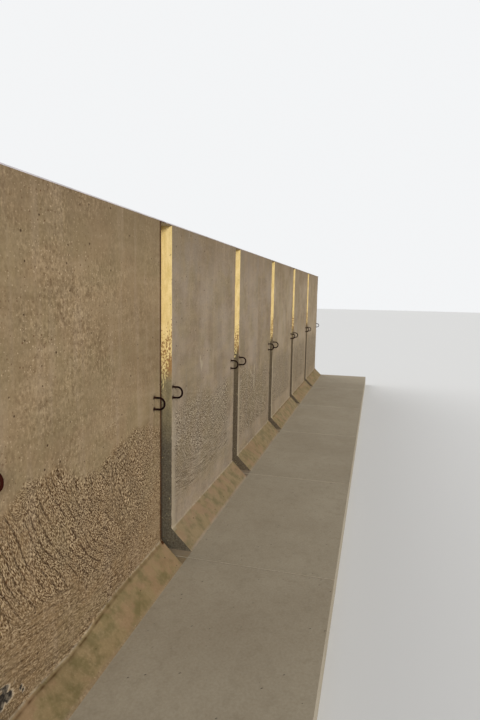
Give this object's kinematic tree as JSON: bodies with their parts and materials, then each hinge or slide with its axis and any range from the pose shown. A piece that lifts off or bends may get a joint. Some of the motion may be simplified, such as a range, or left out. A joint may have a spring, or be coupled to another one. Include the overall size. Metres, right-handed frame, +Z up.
{
  "type": "l-shaped retaining wall",
  "caption": "Row of precast concrete L-shaped retaining wall elements with haunched feet, recessed joints on the earth side and rusty cast-in wire loops.",
  "frame": {"origin": "on the ground, under the middle of the row and of its depth", "axes": "+X along the row, from the near end to the far end; -Y towards the feet and the earth side, +Y towards the exposed face; +Z up"},
  "size_m": [11.99, 1.5, 2.75],
  "materials": {
    "concrete": "hand-floated and brushed concrete, formwork-smooth on the exposed face",
    "rusted_bar": "dark rusted bar",
    "seal_rubber": "matt"
  },
  "bodies": {
    "root": {"wall_element_1": "concrete", "wall_element_2": "concrete", "wall_element_3": "concrete", "wall_element_4": "concrete", "wall_element_5": "concrete", "wall_element_6": "concrete", "loop_1_near": "rusted_bar", "loop_1_far": "rusted_bar", "loop_2_near": "rusted_bar", "loop_2_far": "rusted_bar", "loop_3_near": "rusted_bar", "loop_3_far": "rusted_bar", "loop_4_near": "rusted_bar", "loop_4_far": "rusted_bar", "loop_5_near": "rusted_bar", "loop_5_far": "rusted_bar", "loop_6_near": "rusted_bar", "loop_6_far": "rusted_bar", "joint_seal_1": "seal_rubber", "joint_seal_2": "seal_rubber", "joint_seal_3": "seal_rubber", "joint_seal_4": "seal_rubber", "joint_seal_5": "seal_rubber"}
  },
  "joints": []
}
